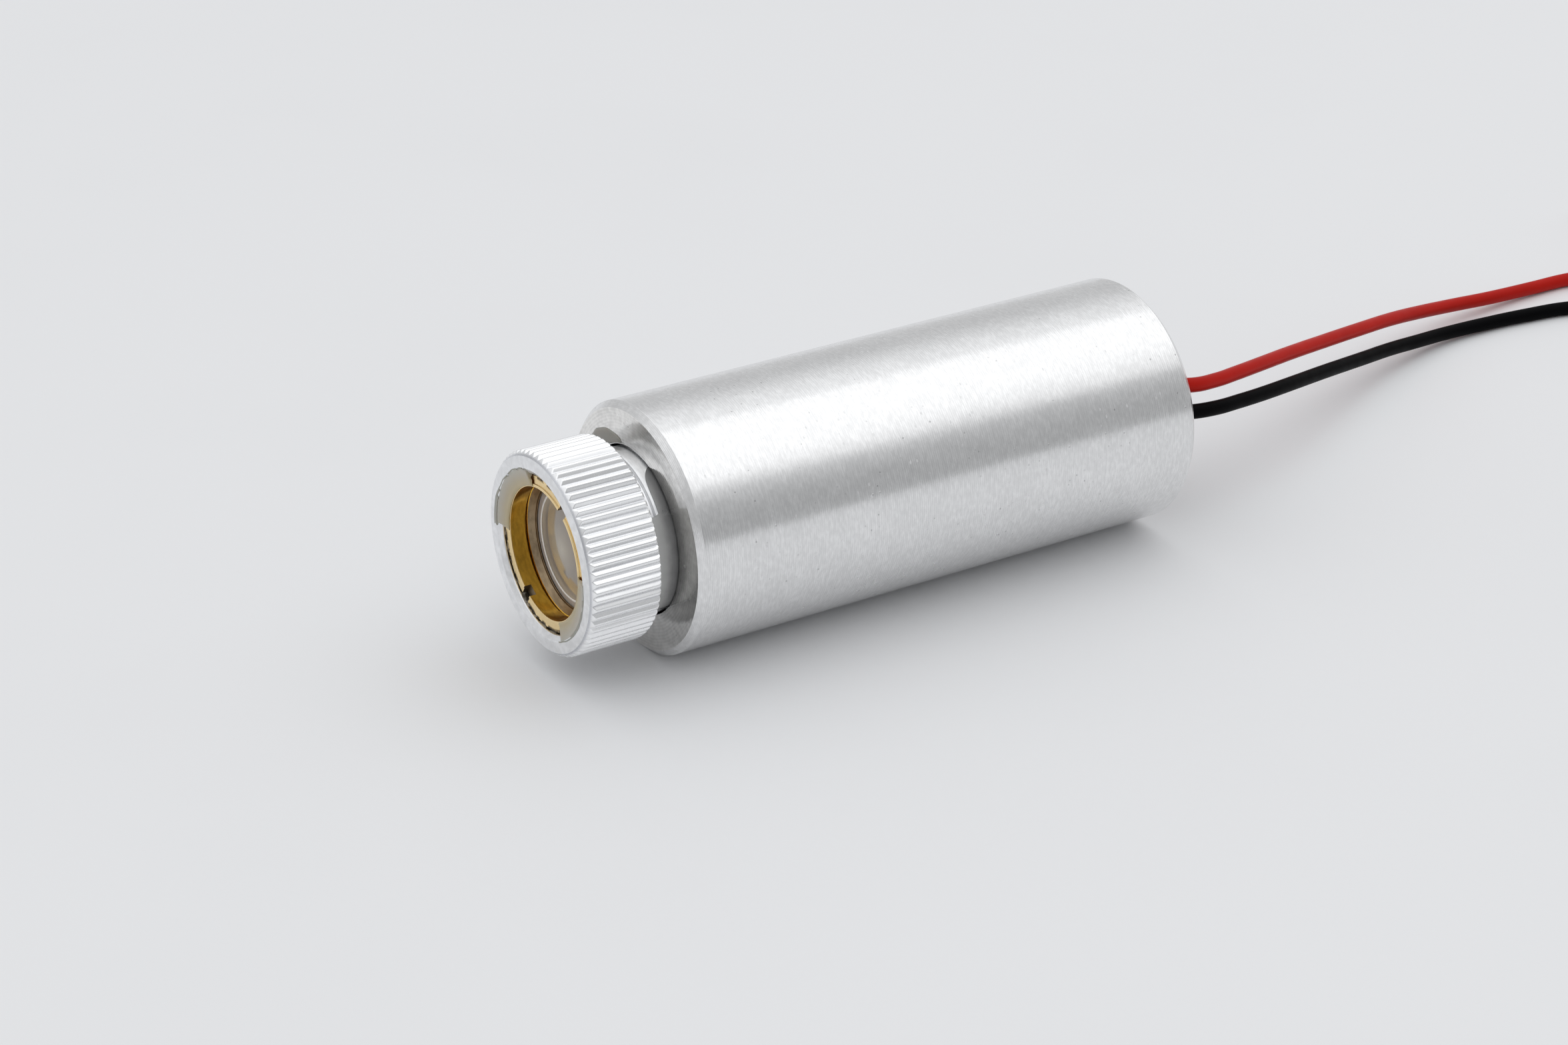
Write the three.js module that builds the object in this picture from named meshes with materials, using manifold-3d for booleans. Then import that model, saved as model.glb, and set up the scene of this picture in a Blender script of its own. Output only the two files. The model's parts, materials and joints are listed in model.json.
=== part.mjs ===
// Focusable laser collimator module: a turned aluminium tube that holds a laser diode and its
// driver board, with a knurled focus ring and lens at the front and two thin leads at the rear.
// Millimetres, +Z up. The optical axis runs along Y: the beam leaves towards -Y, the leads towards +Y.
// The origin is under the middle of the module (leads not counted), on the surface it lies on.
import * as THREE from "three";
import { mergeVertices } from "three/addons/utils/BufferGeometryUtils.js";
import Module from "manifold-3d";

const wasm = await Module();
wasm.setup();

// ---- Driving dimensions ----
const BODY_D = 16; // the tube that a clamp or heat sink holds
const BODY_L = 37;
const BODY_CHAMFER = 0.4;
const BODY_SIDES = 96; // an even number, so that the tube rests on a flat side
const FRONT_BORE_R = 5.35; // the focus stem runs in it
const FRONT_BORE_L = 12;
const WEB_L = 1; // the wall between the focus spring and the diode
const WEB_HOLE_R = 3.2;
const REAR_BORE_R = 6.5;

const RING_D = 12.84; // over the knurl
const RING_L = 4.8;
const RING_STANDOFF = 1.75; // from the ring's rear face to the tube's front face
const RING_CHAMFER = 0.35;
const KNURL_TEETH = 70;
const KNURL_DEPTH = 0.22;
const KNURL_LAND = 0.34; // the share of a tooth's pitch that its flat top takes
const KNURL_BASE = 0.74; // and that its foot takes
const STEM_R = 5.05;
const STEM_END = 7; // how far the stem reaches into the tube
const STEM_BORE_R = 3.6;
const CELL_BORE_R = 5.25; // the threaded pocket for the lens cell and its retaining ring
const CELL_BORE_END = -2.5;

const RETAINER_R = 4.94;
const RETAINER_BORE_R = 4.17;
const RETAINER_FRONT = -6.25; // 0.3 below the ring's front face
const RETAINER_L = 1.1;
const SPANNER_SLOT = { width: 0.75, depth: 0.45, angle: 57 }; // two slots, opposite each other

const LENS_R = 4.05;
const LENS_DOME_R = 3.75;
const LENS_FRONT = -4.45; // the front of its flange
const LENS_FLANGE = 0.9;

const LEAD_D = 1.0; // thin PVC hook-up wire
const LEAD_L = 150; // each lead, from the tube's rear to its stripped end
const BARE_L = 3.8; // tinned strands at the end
const BARE_D = 0.4;
const COIL_TURN_R = 6.4; // the outermost turn of a coil, at its middle
const COIL_PITCH = 1.02; // the turns lie side by side
const TIE_L = 1.2; // the band that holds a coil's turns together
const TIE_T = 0.25;

const GAP = 0.1; // between pieces that touch

// ---- Places that follow from them ----
const BODY_R = BODY_D / 2;
const RING_R = RING_D / 2;
const LENGTH = RING_L + RING_STANDOFF + BODY_L;
const FACE_Y = RING_L + RING_STANDOFF - LENGTH / 2; // the tube's front face
const AXIS_Z = BODY_R * Math.cos(Math.PI / BODY_SIDES); // the lowest flat side lies at zero
const RING_FRONT = -RING_STANDOFF - RING_L;
const LEAD_R = LEAD_D / 2;
const FLOOR_Z = LEAD_R + 0.03; // the middle of a lead that lies on the surface

const part = new THREE.Group();
part.name = "laser_collimator";
const axis = new THREE.Group(); // its Y is the optical axis, measured from the tube's front face
axis.position.set(0, FACE_Y, AXIS_Z);
part.add(axis);

const finish = (color, roughness, metalness, opacity = 1) =>
  new THREE.MeshStandardMaterial({ color, roughness, metalness, opacity, transparent: opacity < 1 });
const ALUMINIUM = finish(0xd4d6d8, 0.32, 1);
const BRASS = finish(0xc9a04a, 0.25, 1);
const STEEL = finish(0xb9bcc0, 0.3, 1);
const GOLD = finish(0xd9b45c, 0.25, 1);
const TINNED = finish(0xc8cacc, 0.35, 1);
const GLASS = finish(0xe2ddd4, 0.05, 0, 0.35);
const RUBBER = finish(0x1b1b1c, 0.8, 0);
const GLUE = finish(0xa9a7a2, 0.45, 0, 0.8);
const EPOXY = finish(0x17181a, 0.35, 0);
const LAMINATE = finish(0x1f6b3a, 0.5, 0);
const MOULDING = finish(0x202124, 0.55, 0);
const CERAMIC = finish(0xb99a6b, 0.5, 0);
const TRIMMER_WHITE = finish(0xe6e4dc, 0.5, 0);
const RED_PVC = finish(0xb81e18, 0.45, 0);
const BLACK_PVC = finish(0x151517, 0.45, 0);
const NYLON = finish(0xe8e8e4, 0.5, 0);

function add(parent, name, geometry, material) {
  const mesh = new THREE.Mesh(geometry, material.clone());
  mesh.name = name;
  parent.add(mesh);
}

// ---- Shape helpers ----

// A solid of revolution about Y from a closed outline of [radius, y] points, listed anticlockwise.
function turned(outline, sides = 64) {
  const points = [...outline, outline[0]].map(([r, y]) => new THREE.Vector2(r, y));
  return new THREE.LatheGeometry(points, sides, Math.PI / sides);
}

// A plain ring or, with no inner radius, a disc, from y0 to y1.
function tube(inner, outer, y0, y1, sides = 64) {
  return turned([[inner, y0], [outer, y0], [outer, y1], [inner, y1]], sides);
}

// A flat outline in X and Z, drawn as a Shape, made solid from y0 to y1.
function prism(shape, y0, y1, curveSegments = 12) {
  const options = { depth: y1 - y0, bevelEnabled: false, curveSegments };
  const geometry = new THREE.ExtrudeGeometry(shape, options);
  return geometry.rotateX(Math.PI / 2).translate(0, y1, 0);
}

// The part of a flat ring between two angles, in degrees anticlockwise from +X as seen from the front.
function sector(inner, outer, from, to) {
  const [a, b] = [from, to].map(THREE.MathUtils.degToRad);
  const shape = new THREE.Shape();
  shape.absarc(0, 0, outer, a, b, false);
  shape.absarc(0, 0, inner, b, a, true);
  return shape;
}

const onCircle = (r, angle) => new THREE.Vector2(r * Math.cos(angle), r * Math.sin(angle));

function block([x, y, z], [width, length, height]) {
  return new THREE.BoxGeometry(width, length, height).translate(x, y, z);
}

function solidOf(geometry) {
  const bare = geometry.clone().deleteAttribute("normal").deleteAttribute("uv");
  const merged = mergeVertices(bare, 1e-4);
  const vertProperties = new Float32Array(merged.attributes.position.array);
  const triVerts = new Uint32Array(merged.index.array);
  return new wasm.Manifold(new wasm.Mesh({ numProp: 3, vertProperties, triVerts }));
}

function geometryOf(solid) {
  const { numProp, vertProperties, triVerts } = solid.getMesh();
  const positions = new Float32Array((vertProperties.length / numProp) * 3);
  for (let i = 0; i < positions.length / 3; i++)
    positions.set(vertProperties.subarray(i * numProp, i * numProp + 3), i * 3);
  const geometry = new THREE.BufferGeometry();
  geometry.setAttribute("position", new THREE.BufferAttribute(positions, 3));
  geometry.setIndex(new THREE.BufferAttribute(new Uint32Array(triVerts), 1));
  return geometry;
}

const cut = (geometry, ...tools) =>
  geometryOf(tools.reduce((solid, tool) => solid.subtract(solidOf(tool)), solidOf(geometry)));

// ---- Tube ----

function bodyTube() {
  const webEnd = FRONT_BORE_L + WEB_L;
  return turned(
    [
      [FRONT_BORE_R, 0],
      [BODY_R - BODY_CHAMFER, 0],
      [BODY_R, BODY_CHAMFER],
      [BODY_R, BODY_L - BODY_CHAMFER],
      [BODY_R - BODY_CHAMFER, BODY_L],
      [REAR_BORE_R, BODY_L],
      [REAR_BORE_R, webEnd],
      [WEB_HOLE_R, webEnd],
      [WEB_HOLE_R, FRONT_BORE_L],
      [FRONT_BORE_R, FRONT_BORE_L],
    ],
    BODY_SIDES,
  );
}
add(axis, "body_tube", bodyTube(), ALUMINIUM);

// ---- Focus group: everything that turns with the knurled ring ----

// The straight knurl's outline: flat-topped teeth with sloping flanks.
function knurlOutline() {
  const rootR = RING_R - KNURL_DEPTH;
  const foot = KNURL_BASE / 2;
  const land = KNURL_LAND / 2;
  const corners = [[-foot, rootR], [-land, RING_R], [land, RING_R], [foot, rootR]];
  const points = [];
  for (let tooth = 0; tooth < KNURL_TEETH; tooth++)
    for (const [step, r] of corners)
      points.push(onCircle(r, ((tooth + step) * 2 * Math.PI) / KNURL_TEETH));
  return new THREE.Shape(points);
}

function focusRing() {
  const knurl = solidOf(prism(knurlOutline(), RING_FRONT, -RING_STANDOFF));
  const over = RING_R + 0.5;
  const blank = turned([
    [0, RING_FRONT],
    [RING_R - RING_CHAMFER * 0.87, RING_FRONT],
    [RING_R + 0.05, RING_FRONT + RING_CHAMFER + 0.05],
    [over, RING_FRONT + RING_CHAMFER + 0.05],
    [over, -RING_STANDOFF - 0.1],
    [RING_R, -RING_STANDOFF - 0.1],
    [RING_R - 0.1, -RING_STANDOFF],
    [0, -RING_STANDOFF],
  ], 70);
  const stem = tube(0, STEM_R, -3.5, STEM_END);
  const bore = tube(0, STEM_BORE_R, RING_FRONT - 1, STEM_END + 1, 48);
  const pocket = turned([
    [0, RING_FRONT - 1],
    [CELL_BORE_R + 1.1, RING_FRONT - 1],
    [CELL_BORE_R, RING_FRONT + 0.1],
    [CELL_BORE_R, CELL_BORE_END],
    [0, CELL_BORE_END],
  ]);
  return geometryOf(
    knurl
      .intersect(solidOf(blank))
      .add(solidOf(stem))
      .subtract(solidOf(bore))
      .subtract(solidOf(pocket)),
  );
}

function retainingRing() {
  const end = RETAINER_FRONT + RETAINER_L;
  const ring = turned([
    [RETAINER_BORE_R, RETAINER_FRONT],
    [RETAINER_BORE_R + 0.2, RETAINER_FRONT],
    [RETAINER_BORE_R + 0.2, RETAINER_FRONT + 0.07],
    [RETAINER_R, RETAINER_FRONT + 0.07],
    [RETAINER_R, end],
    [RETAINER_BORE_R, end],
  ]);
  const across = RETAINER_R - RETAINER_BORE_R + 0.6;
  const slots = [0, 180].map((turn) =>
    block(
      [(RETAINER_BORE_R + RETAINER_R) / 2, RETAINER_FRONT, 0],
      [across, 2 * SPANNER_SLOT.depth, SPANNER_SLOT.width],
    ).rotateY(-THREE.MathUtils.degToRad(SPANNER_SLOT.angle + turn)),
  );
  return cut(ring, ...slots);
}

// A brass cup: the lens rests behind its lip.
function lensCell() {
  const front = LENS_FRONT - 0.4;
  return turned([
    [LENS_R + 0.05, front],
    [RETAINER_R, front],
    [RETAINER_R, CELL_BORE_END - GAP],
    [LENS_R + 0.25, CELL_BORE_END - GAP],
    [LENS_R + 0.25, LENS_FRONT - GAP],
    [LENS_DOME_R + 0.1, LENS_FRONT - GAP],
  ]);
}

// A moulded plano-convex lens: a flange round a dome.
function lens() {
  const dome = [];
  const rise = 0.55;
  for (let step = 0; step <= 6; step++) {
    const share = step / 6;
    dome.push([LENS_DOME_R * share, LENS_FRONT - rise * (1 - share * share)]);
  }
  const back = LENS_FRONT + LENS_FLANGE;
  return turned([...dome, [LENS_R, LENS_FRONT], [LENS_R, back], [0, back]], 48);
}

const focusGroup = new THREE.Group();
axis.add(focusGroup);
add(focusGroup, "focus_ring", focusRing(), ALUMINIUM);
add(focusGroup, "lens_retaining_ring", retainingRing(), BRASS);
add(focusGroup, "lens_cell", lensCell(), BRASS);
add(focusGroup, "collimating_lens", lens(), GLASS);

// The elastic ring that keeps the lens against the cell's lip.
const cushionFront = LENS_FRONT + LENS_FLANGE + GAP;
const cushion = tube(STEM_BORE_R, LENS_R, cushionFront, CELL_BORE_END - GAP, 48);
add(focusGroup, "lens_cushion_ring", cushion, RUBBER);

// Two dabs of glue keep the retaining ring from turning. Angles as in sector().
const GLUE_R = { inner: RETAINER_BORE_R + 0.04, outer: CELL_BORE_R - 0.1 };
function glueDab(from, to) {
  const shape = sector(GLUE_R.inner, GLUE_R.outer, from, to);
  return prism(shape, RING_FRONT + 0.01, RETAINER_FRONT - 0.04);
}
add(focusGroup, "retainer_glue_upper", glueDab(104, 182), GLUE);
add(focusGroup, "retainer_glue_lower", glueDab(-66, 3), GLUE);

// A thin film of sealing compound on the stem: it is thin enough to follow the stem into the tube.
const filmShape = sector(STEM_R + 0.05, STEM_R + 0.18, -44, 32);
add(focusGroup, "stem_sealant", prism(filmShape, -RING_STANDOFF + 0.05, -0.05), GLUE);

// What was wiped onto the tube's face stays there.
const smearShape = sector(FRONT_BORE_R + 0.1, FRONT_BORE_R + 0.9, 108, 160);
add(axis, "face_sealant", prism(smearShape, -0.22, -0.02), GLUE);

// ---- Spring that takes the play out of the focus thread ----

const SEAT_L = 0.5;
const SPRING_WIRE = 0.5;
const SPRING_R = 4.6;
const SPRING_TURNS = 4;
const seatFront = STEM_END + GAP;
add(axis, "spring_seat_washer", tube(STEM_BORE_R, STEM_R, seatFront, seatFront + SEAT_L, 48), STEEL);

class Helix extends THREE.Curve {
  constructor(radius, turns, y0, y1) {
    super();
    Object.assign(this, { radius, turns, y0, y1 });
  }
  getPoint(t, target = new THREE.Vector3()) {
    const angle = 2 * Math.PI * this.turns * t;
    const y = THREE.MathUtils.lerp(this.y0, this.y1, t);
    return target.set(this.radius * Math.cos(angle), y, this.radius * Math.sin(angle));
  }
}

// A round wire of the given diameter along a path.
function swept(path, diameter, steps, sides = 8) {
  const corners = [];
  for (let side = 0; side < sides; side++)
    corners.push(onCircle(diameter / 2, ((side + 0.5) * 2 * Math.PI) / sides));
  const section = new THREE.Shape(corners);
  return new THREE.ExtrudeGeometry(section, { extrudePath: path, steps, bevelEnabled: false });
}

const springPath = new Helix(
  SPRING_R,
  SPRING_TURNS,
  seatFront + SEAT_L + GAP + SPRING_WIRE / 2,
  FRONT_BORE_L - GAP - SPRING_WIRE / 2,
);
add(axis, "anti_backlash_spring", swept(springPath, SPRING_WIRE, 16 * SPRING_TURNS, 6), STEEL);

// ---- Laser diode in its heat-sink holder ----

const HOLDER = { front: FRONT_BORE_L + WEB_L + 0.2, step: 15, end: 17.6, r: 6.3 };
const DIODE = { baseR: 2.8, baseL: 1.2, canR: 1.78, canL: 2.3 };
const PIN = { r: 0.225, circleR: 1.27, length: 3.6 };
const baseFront = HOLDER.step + GAP;
const baseEnd = baseFront + DIODE.baseL;
const canFront = baseFront - GAP - DIODE.canL;

const holder = turned([
  [DIODE.canR + 0.2, HOLDER.front],
  [HOLDER.r, HOLDER.front],
  [HOLDER.r, HOLDER.end],
  [DIODE.baseR + 0.3, HOLDER.end],
  [DIODE.baseR + 0.3, HOLDER.step],
  [DIODE.canR + 0.2, HOLDER.step],
]);
add(axis, "diode_holder", holder, ALUMINIUM);
const clampRing = tube(1.9, DIODE.baseR + 0.2, baseEnd + GAP, HOLDER.end - 0.1, 48);
add(axis, "diode_clamp_ring", clampRing, BRASS);
add(axis, "diode_base", tube(0, DIODE.baseR, baseFront, baseEnd, 40), GOLD);

// The can is a cup with a round window in its front wall.
const can = turned([
  [0.9, canFront],
  [DIODE.canR, canFront],
  [DIODE.canR, baseFront - GAP],
  [DIODE.canR - 0.2, baseFront - GAP],
  [DIODE.canR - 0.2, canFront + 0.2],
  [0.9, canFront + 0.2],
], 40);
add(axis, "diode_can", can, STEEL);
add(axis, "diode_window", tube(0, DIODE.canR - 0.3, canFront + 0.25, canFront + 0.5, 32), GLASS);
add(axis, "diode_chip_mount", block([0, baseFront - GAP - 0.6, 0.2], [0.9, 1.2, 0.6]), GOLD);

const pinNames = ["diode_pin_anode", "diode_pin_cathode", "diode_pin_monitor"];
pinNames.forEach((name, index) => {
  const angle = THREE.MathUtils.degToRad(90 + 120 * index);
  const pin = tube(0, PIN.r, baseEnd + GAP, baseEnd + PIN.length, 12);
  pin.translate(PIN.circleR * Math.cos(angle), 0, PIN.circleR * Math.sin(angle));
  add(axis, name, pin, GOLD);
});

// ---- Driver board and the parts on it ----

const BOARD = { front: 20.2, length: 12.6, width: 11, thick: 1 };
const boardTop = BOARD.thick / 2;
const onTop = (x, y, [width, length, height]) =>
  block([x, y, boardTop + GAP + height / 2], [width, length, height]);
const underneath = (x, y, [width, length, height]) =>
  block([x, y, -boardTop - GAP - height / 2], [width, length, height]);

const boardY = BOARD.front + BOARD.length / 2;
const board = block([0, boardY, 0], [BOARD.width, BOARD.length, BOARD.thick]);
add(axis, "driver_board", board, LAMINATE);
add(axis, "driver_chip", onTop(-2.4, 25.2, [3.9, 4.9, 1.5]), MOULDING);
add(axis, "pass_transistor", onTop(-2.6, 30.2, [2.9, 1.4, 1.1]), MOULDING);
add(axis, "sense_resistor", onTop(2.9, 22.4, [3.1, 1.6, 0.6]), MOULDING);
add(axis, "bypass_capacitor", onTop(0.4, 30.2, [1.25, 2.0, 1.1]), CERAMIC);
add(axis, "filter_capacitor", underneath(-1.8, 25, [3.2, 5.8, 2.5]), MOULDING);
add(axis, "protection_diode", underneath(2.9, 27.4, [2.6, 4.3, 2.1]), MOULDING);

// The trimmer sets the diode's current: a screwdriver turns the rotor in its body.
const TRIMMER = { x: 2.7, y: 26.4, size: 3.4, height: 1.1, rotorR: 1.15, rotorH: 0.5 };
const trimmerTop = boardTop + GAP + TRIMMER.height;
const trimmerAt = new THREE.Group();
trimmerAt.position.set(TRIMMER.x, TRIMMER.y, trimmerTop);
axis.add(trimmerAt);
const trimmerBase = new THREE.BoxGeometry(TRIMMER.size, TRIMMER.size, TRIMMER.height);
trimmerBase.translate(0, 0, -TRIMMER.height / 2);
add(trimmerAt, "trimmer_body", trimmerBase, TRIMMER_WHITE);
const rotorDisc = tube(0, TRIMMER.rotorR, GAP, GAP + TRIMMER.rotorH, 32).rotateX(Math.PI / 2);
const driverSlot = block([0, 0, GAP + TRIMMER.rotorH], [0.35, 1.8, 0.5]);
add(trimmerAt, "trimmer_rotor", cut(rotorDisc, driverSlot), TINNED);

// ---- Rear seal, which the leads leave through ----

const SEAL = { front: 35, end: BODY_L - 0.4, r: REAR_BORE_R - 0.1 };
const SEAL_FACE_Y = FACE_Y + SEAL.end;
const leads = [
  {
    name: "red_lead",
    material: RED_PVC,
    exit: { x: 1.0, z: 8.75 },
    pad: [3.6, 1.2],
    solder: "solder_joint_positive",
    // From the seal to the coil, in the part's own frame, on a surface at zero
    route: [
      [1.0, 24.0, 8.7], [1.3, 26.5, 8.2], [0.8, 28.8, 7.8], [-0.1, 31.4, 7.4], [-1.5, 34.8, 6.8],
      [-3.3, 38.8, 6.0], [-5.2, 43.2, 5.1], [-7.6, 49.0, 3.95], [-9.3, 53.2, 3.1], [-10.8, 57.3, 2.2],
      [-11.9, 61.8, 1.4], [-12.4, 65.8, 0.9], [-12.7, 70.0, 0.6], [-12.6, 74.2, FLOOR_Z],
      [-11.8, 77.6, FLOOR_Z], [-10.6, 80.6, FLOOR_Z],
    ],
    coil: { x: -15, y: 88, entry: 0, spin: 1, tie: 200 },
  },
  {
    name: "black_lead",
    material: BLACK_PVC,
    exit: { x: 1.6, z: 7.0 },
    pad: [3.6, -1.2],
    solder: "solder_joint_negative",
    route: [
      [1.7, 23.8, 6.95], [2.1, 26.0, 6.7], [2.0, 28.0, 6.45], [1.3, 30.6, 6.05], [0.4, 33.4, 5.6],
      [-1.0, 37.0, 4.95], [-3.1, 41.8, 3.95], [-5.6, 47.5, 2.7], [-7.2, 51.5, 1.92], [-8.4, 55.2, 1.25],
      [-9.2, 58.6, 0.8], [-9.4, 62.0, 0.6], [-9.1, 66.4, FLOOR_Z], [-8.4, 70.2, FLOOR_Z],
      [-7.0, 73.2, FLOOR_Z], [-5.5, 75.4, FLOOR_Z],
    ],
    coil: { x: 2.5, y: 82, entry: 180, spin: -1, tie: -20 },
  },
];

const sealShape = new THREE.Shape();
sealShape.absarc(0, 0, SEAL.r, 0, 2 * Math.PI);
for (const { exit } of leads) {
  const hole = new THREE.Path();
  hole.absarc(exit.x, exit.z - AXIS_Z, LEAD_R + 0.1, 0, 2 * Math.PI, true);
  sealShape.holes.push(hole);
}
add(axis, "rear_seal", prism(sealShape, SEAL.front, SEAL.end, 20), EPOXY);

// ---- Leads ----

// Inside the tube each lead runs from its solder pad on the board to the seal's outer face.
const PAD_Y = BOARD.front + BOARD.length - 1.4;

function innerLead({ exit, pad }) {
  const [padX, padZ] = pad;
  const [exitX, exitZ] = [exit.x, exit.z - AXIS_Z];
  const path = new THREE.CatmullRomCurve3([
    new THREE.Vector3(padX, PAD_Y, padZ),
    new THREE.Vector3(padX, PAD_Y + 1.8, padZ),
    new THREE.Vector3(exitX, SEAL.front - 0.6, exitZ),
    new THREE.Vector3(exitX, SEAL.front + 0.4, exitZ),
    new THREE.Vector3(exitX, SEAL.end, exitZ),
  ]);
  return swept(path, LEAD_D, 16);
}

// A low dome of solder on the pad, on the board's upper or lower side.
function solderJoint({ pad }) {
  const [padX, padZ] = pad;
  const dome = turned([[0, 0], [0.65, 0], [0.55, 0.25], [0.3, 0.42], [0, 0.48]], 20);
  dome.rotateX(padZ > 0 ? Math.PI / 2 : -Math.PI / 2);
  return dome.translate(padX, PAD_Y - 0.8, Math.sign(padZ) * (boardTop + GAP));
}

function freePath({ exit, route }) {
  const start = [exit.x, SEAL_FACE_Y + GAP, exit.z];
  const points = [start, ...route].map((at) => new THREE.Vector3(...at));
  return new THREE.CatmullRomCurve3(points, false, "centripetal");
}

// How many turns take up what is left of a lead, each turn smaller than the one outside it.
function coilTurns(length) {
  const innermost = Math.sqrt(COIL_TURN_R ** 2 - (COIL_PITCH * length) / Math.PI);
  return (COIL_TURN_R - innermost) / COIL_PITCH;
}

// A flat coil's outer shape, with the bare end inside it and a band round its turns.
const COIL_LIFT = TIE_T + GAP;
const ENTRY_L = 4.2; // from the end of the free stretch to where the first turn begins

function addCoil({ name, material, coil }, routeLength) {
  const turns = coilTurns(LEAD_L - BARE_L - routeLength - ENTRY_L);
  const inner = COIL_TURN_R - COIL_PITCH * turns - LEAD_R - 0.05;
  const outer = COIL_TURN_R + LEAD_R + 0.05;
  const at = new THREE.Group();
  at.position.set(coil.x, coil.y, 0);
  part.add(at);
  const ring = tube(inner, outer, -COIL_LIFT - LEAD_D, -COIL_LIFT, 48).rotateX(-Math.PI / 2);
  add(at, name + "_coil", ring, material);

  // The bare end crosses the middle of the coil as a chord.
  const reach = inner - 0.3;
  const offset = Math.sqrt(reach ** 2 - (BARE_L / 2) ** 2);
  const halfAngle = Math.atan2(BARE_L / 2, offset);
  const lastAngle = THREE.MathUtils.degToRad(coil.entry) + coil.spin * 2 * Math.PI * turns;
  const bareEnd = tube(0, BARE_D / 2, -BARE_L / 2, BARE_L / 2, 10);
  bareEnd.translate(offset, 0, COIL_LIFT + LEAD_R).rotateZ(lastAngle + coil.spin * halfAngle);
  add(at, name + "_bare_end", bareEnd, TINNED);

  const band = new THREE.Shape();
  const [left, right] = [inner - GAP - TIE_T, outer + GAP + TIE_T];
  const top = COIL_LIFT + LEAD_D + GAP + TIE_T;
  band.moveTo(left, 0).lineTo(right, 0).lineTo(right, top).lineTo(left, top).closePath();
  const hollow = new THREE.Path();
  hollow.moveTo(left + TIE_T, TIE_T).lineTo(left + TIE_T, top - TIE_T);
  hollow.lineTo(right - TIE_T, top - TIE_T).lineTo(right - TIE_T, TIE_T).closePath();
  band.holes.push(hollow);
  const tie = prism(band, -TIE_L / 2, TIE_L / 2).rotateZ(THREE.MathUtils.degToRad(coil.tie));
  add(at, name + "_tie", tie, NYLON);
}

for (const lead of leads) {
  add(axis, lead.name + "_inner", innerLead(lead), lead.material);
  add(axis, lead.solder, solderJoint(lead), TINNED);
  const path = freePath(lead);
  const length = path.getLength();
  const steps = Math.ceil(length / (2.5 * LEAD_D));
  add(part, lead.name, swept(path, LEAD_D, steps), lead.material);
  addCoil(lead, length);
}

export default part;
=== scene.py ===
import json
import math
import random

import bmesh
import bpy
from mathutils import Matrix, Vector, noise


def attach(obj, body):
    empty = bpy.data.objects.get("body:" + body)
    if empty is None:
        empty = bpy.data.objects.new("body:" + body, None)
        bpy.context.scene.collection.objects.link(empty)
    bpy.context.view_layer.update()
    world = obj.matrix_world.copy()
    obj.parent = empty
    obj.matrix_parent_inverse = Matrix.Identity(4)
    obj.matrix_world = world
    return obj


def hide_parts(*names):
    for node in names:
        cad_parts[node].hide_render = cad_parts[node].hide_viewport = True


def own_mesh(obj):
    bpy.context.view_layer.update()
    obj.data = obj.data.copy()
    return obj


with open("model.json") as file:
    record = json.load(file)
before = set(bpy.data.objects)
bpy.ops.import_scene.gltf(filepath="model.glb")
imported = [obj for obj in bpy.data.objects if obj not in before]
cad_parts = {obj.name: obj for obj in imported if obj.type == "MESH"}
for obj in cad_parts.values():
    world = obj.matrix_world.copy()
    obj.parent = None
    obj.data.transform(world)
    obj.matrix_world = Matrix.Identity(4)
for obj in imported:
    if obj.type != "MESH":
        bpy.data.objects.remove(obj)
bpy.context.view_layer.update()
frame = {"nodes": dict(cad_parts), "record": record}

random.seed(4)

# ---- Dimensions, in millimetres. y runs along the optical axis from the tube's front face ----
MM = 0.001
FACE_Y = -15.225
AXIS_Z = 8 * math.cos(math.pi / 96)

BODY_R = 8.0
BODY_L = 37.0
BODY_CHAMFER = 0.4
FRONT_BORE_R = 5.35
FRONT_BORE_L = 12.0
WEB_END = 13.0
WEB_HOLE_R = 3.2
REAR_BORE_R = 6.5

RING_R = 6.42
RING_FRONT = -6.55
RING_BACK = -1.75
KNURL_TEETH = 70
KNURL_DEPTH = 0.22
STEM_R = 5.05
STEM_END = 7.0
STEM_BORE_R = 3.6
CELL_BORE_R = 5.25
CELL_BORE_END = -2.5

RETAINER_FRONT = -6.25
RETAINER_END = -5.15
RETAINER_R = 4.94
RETAINER_BORE_R = 4.17
SLOT_ANGLES = (57, 237)
SLOT_WIDTH = 0.75
SLOT_FLOOR = RETAINER_FRONT + 0.45

CELL_R = 4.9
CELL_FRONT = -5.02
CELL_BACK = -2.62
CELL_INNER_R = 4.3
LENS_R = 4.05
LENS_FRONT = -4.45
LENS_BACK = -3.55

SEAL_FRONT = 35.0
SEAL_Y = 36.6
SEAL_R = 6.48
LEAD_D = 1.0
LEAD_L = 150.0
BARE_L = 3.8
BARE_R = 0.2
COIL_TURN_R = 6.4
COIL_PITCH = 1.02
COIL_LIFT = 0.35
TIE_T = 0.2
KNOTS_PER_TURN = 16
END_BEND = 2.2
FLOOR_Z = LEAD_D / 2 + 0.03


# ---- Camera ----

camera = bpy.data.objects.new("camera", bpy.data.cameras.new("camera"))
bpy.context.scene.collection.objects.link(camera)
bpy.context.scene.camera = camera
forward = Vector((-0.75979, 0.47863, -0.44003)).normalized()
right = forward.cross(Vector((0, 0, 1))).normalized()
up = right.cross(forward)
turn = Matrix((right, up, -forward)).transposed().to_4x4()
camera.matrix_world = Matrix.Translation(Vector((171.44, -112.44, 104.94)) * MM) @ turn
camera.data.lens = 83.03
camera.data.sensor_width = 36
camera.data.clip_start = 0.005
camera.data.clip_end = 50


# ---- Materials ----

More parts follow.
